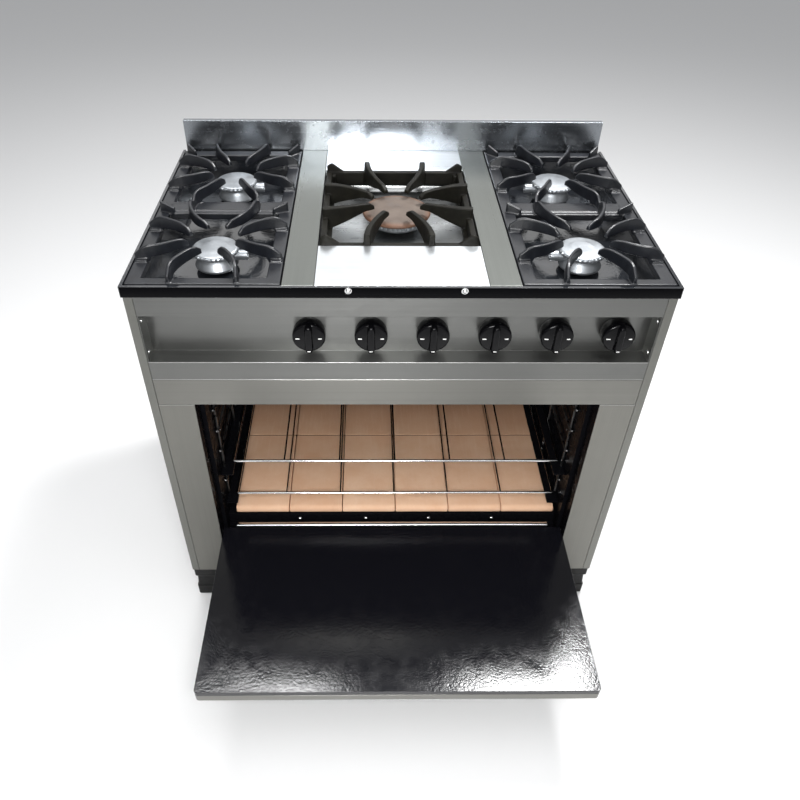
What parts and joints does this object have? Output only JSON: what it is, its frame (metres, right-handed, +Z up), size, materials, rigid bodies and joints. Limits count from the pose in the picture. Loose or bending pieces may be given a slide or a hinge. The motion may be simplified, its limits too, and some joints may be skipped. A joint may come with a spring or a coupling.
{
  "type": "commercial gas range",
  "caption": "Freestanding commercial gas range with cast grates, a brick-floored oven, drop-down door, control knobs and a low backsplash.",
  "frame": {"origin": "on the floor, centred under the bounding box of the whole range with its oven door open", "axes": "+Z up, +X to the right seen from the front, -Y towards the cook"},
  "size_m": [0.9, 0.94, 0.898],
  "materials": {
    "stainless": "satin, brushed along the sheet",
    "base_steel": "satin sheet steel",
    "polished_steel": "bright, nearly mirror, fine scratches",
    "galvanised": "galvanised sheet, dull spangle",
    "black_enamel": "gloss vitreous enamel with light orange peel",
    "grate_enamel": "satin grey-black enamelled casting",
    "cast_iron_black": "matte, slightly rough casting",
    "burner_aluminium": "as-cast, lightly machined top",
    "oven_burner_steel": "aluminised tube",
    "burnt_cap": "heat-browned matte cap",
    "gas_brass": "turned brass and plain pipe",
    "knob_plastic": "glossy black phenolic",
    "firebrick": "unglazed, sandy, lightly mottled",
    "rack_chrome": "bright plated wire",
    "leg_black": "satin black"
  },
  "bodies": {
    "range": {"side_panel_left": "stainless", "side_panel_right": "stainless", "front_column_left": "stainless", "front_column_right": "stainless", "header_panel": "stainless", "control_panel": "stainless", "deck_strip_left": "stainless", "deck_strip_right": "stainless", "backsplash": "stainless", "base_panel": "base_steel", "infill_plate_front": "polished_steel", "infill_plate_rear": "polished_steel", "center_tray": "polished_steel", "back_panel": "galvanised", "worktop_pan": "black_enamel", "oven_side_left": "black_enamel", "oven_side_right": "black_enamel", "oven_back": "black_enamel", "oven_roof": "black_enamel", "oven_floor": "black_enamel", "burner_front_left": "burner_aluminium", "burner_rear_left": "burner_aluminium", "burner_front_right": "burner_aluminium", "burner_rear_right": "burner_aluminium", "burner_center": "burner_aluminium", "oven_burner": "oven_burner_steel", "burner_cap_center": "burnt_cap", "gas_manifold": "gas_brass", "brick_front_1": "firebrick", "brick_front_2": "firebrick", "brick_front_3": "firebrick", "brick_front_4": "firebrick", "brick_front_5": "firebrick", "brick_front_6": "firebrick", "brick_rear_1": "firebrick", "brick_rear_2": "firebrick", "brick_rear_3": "firebrick", "brick_rear_4": "firebrick", "brick_rear_5": "firebrick", "brick_rear_6": "firebrick", "leg_front_left": "leg_black", "leg_front_right": "leg_black", "leg_rear_left": "leg_black", "leg_rear_right": "leg_black"},
    "door": {"door_skin": "stainless", "door_liner": "black_enamel", "door_handle": "stainless", "door_hinge_left": "galvanised", "door_hinge_right": "galvanised"},
    "side_grate_left": {"grate_left": "grate_enamel"},
    "side_grate_right": {"grate_right": "grate_enamel"},
    "middle_grate": {"grate_center": "cast_iron_black"},
    "oven_rack_lower": {"rack_lower": "rack_chrome"},
    "oven_rack_upper": {"rack_upper": "rack_chrome"},
    "tap_1": {"knob_1": "knob_plastic"},
    "tap_2": {"knob_2": "knob_plastic"},
    "tap_3": {"knob_3": "knob_plastic"},
    "tap_4": {"knob_4": "knob_plastic"},
    "tap_5": {"knob_5": "knob_plastic"},
    "tap_6": {"knob_6": "knob_plastic"}
  },
  "joints": [
    {"name": "door_drop", "type": "hinge", "parent": "range", "child": "door", "pos_m": [0, -0.098, 0.2], "axis": [-1, 0, 0], "range_deg": [0, 90]},
    {"name": "tap_1_turn", "type": "hinge", "parent": "range", "child": "tap_1", "pos_m": [-0.1546, -0.1, 0.7295], "axis": [0, -1, 0], "range_deg": [0, 180]},
    {"name": "tap_2_turn", "type": "hinge", "parent": "range", "child": "tap_2", "pos_m": [-0.0492, -0.1, 0.7295], "axis": [0, -1, 0], "range_deg": [0, 180]},
    {"name": "tap_3_turn", "type": "hinge", "parent": "range", "child": "tap_3", "pos_m": [0.0562, -0.1, 0.7295], "axis": [0, -1, 0], "range_deg": [0, 180]},
    {"name": "tap_4_turn", "type": "hinge", "parent": "range", "child": "tap_4", "pos_m": [0.1616, -0.1, 0.7295], "axis": [0, -1, 0], "range_deg": [0, 180]},
    {"name": "tap_5_turn", "type": "hinge", "parent": "range", "child": "tap_5", "pos_m": [0.267, -0.1, 0.7295], "axis": [0, -1, 0], "range_deg": [0, 180]},
    {"name": "tap_6_turn", "type": "hinge", "parent": "range", "child": "tap_6", "pos_m": [0.3724, -0.1, 0.7295], "axis": [0, -1, 0], "range_deg": [0, 270]},
    {"name": "grate_left_lift", "type": "slide", "parent": "range", "child": "side_grate_left", "axis": [0, 0, 1], "range_m": [0, 0.12]},
    {"name": "grate_right_lift", "type": "slide", "parent": "range", "child": "side_grate_right", "axis": [0, 0, 1], "range_m": [0, 0.12]},
    {"name": "grate_center_lift", "type": "slide", "parent": "range", "child": "middle_grate", "axis": [0, 0, 1], "range_m": [0, 0.12]},
    {"name": "rack_lower_pull", "type": "slide", "parent": "range", "child": "oven_rack_lower", "axis": [0, 1, 0], "range_m": [-0.33, 0]},
    {"name": "rack_upper_pull", "type": "slide", "parent": "range", "child": "oven_rack_upper", "axis": [0, 1, 0], "range_m": [-0.33, 0]}
  ]
}
